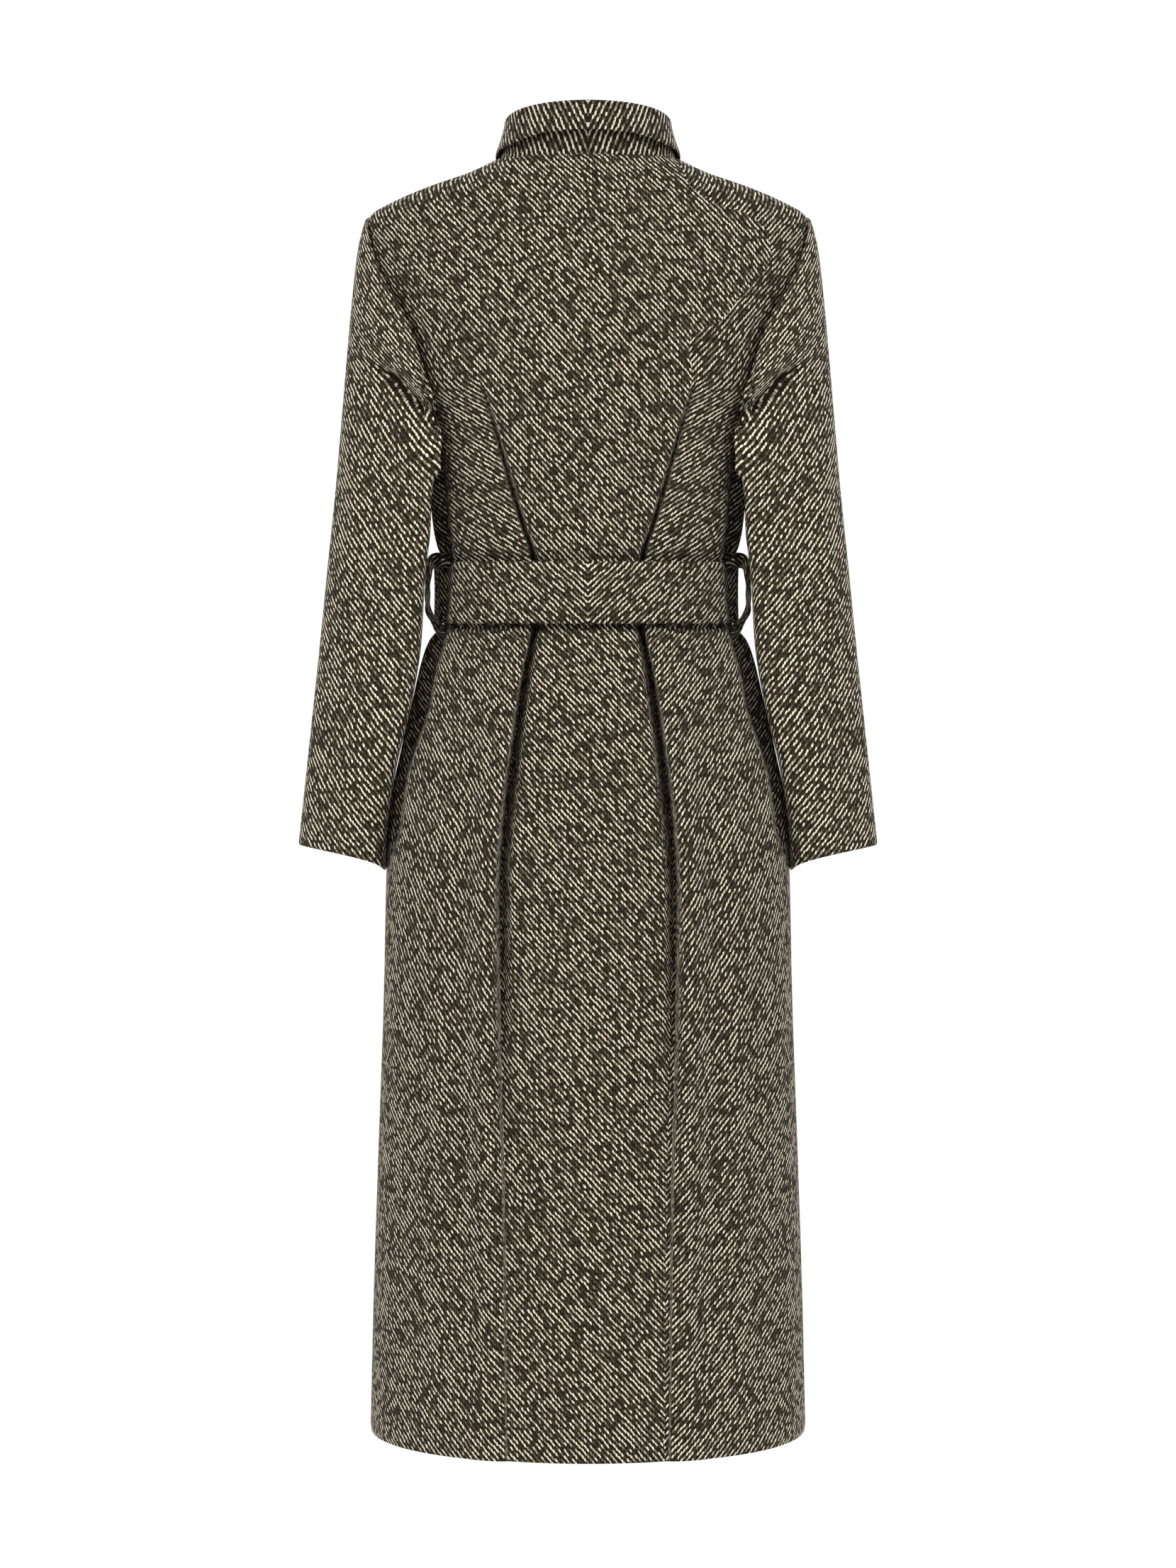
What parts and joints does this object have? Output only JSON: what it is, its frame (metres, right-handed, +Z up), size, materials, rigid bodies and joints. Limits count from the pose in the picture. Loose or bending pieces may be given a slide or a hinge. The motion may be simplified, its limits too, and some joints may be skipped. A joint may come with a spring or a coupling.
{
  "type": "belted tweed coat",
  "caption": "Long tweed wrap coat in its worn, hollow form, with a stand-and-fall collar, set-in sleeves, tucked back and a tied belt in side loops.",
  "frame": {"origin": "on the centre line at the height where the shoulder line starts beside the neck, above the middle of the hollow", "axes": "+Z up along the coat's length, -Y the way the coat's front faces, +X to the coat's own left"},
  "size_m": [0.5474, 0.2957, 1.2364],
  "materials": {
    "body_tweed": "matte wool tweed, twill weave",
    "sleeve_tweed": "matte wool tweed, twill weave",
    "collar_tweed": "matte wool tweed, twill weave",
    "belt_tweed": "matte wool tweed, twill weave"
  },
  "bodies": {
    "root": {"back": "body_tweed", "front_left": "body_tweed", "front_right": "body_tweed", "sleeve_left": "sleeve_tweed", "sleeve_right": "sleeve_tweed", "collar_stand": "collar_tweed", "collar_fall": "collar_tweed", "belt_band": "belt_tweed", "belt_knot": "belt_tweed", "belt_end_left": "belt_tweed", "belt_end_right": "belt_tweed", "belt_loop_left": "belt_tweed", "belt_loop_right": "belt_tweed"}
  },
  "joints": []
}
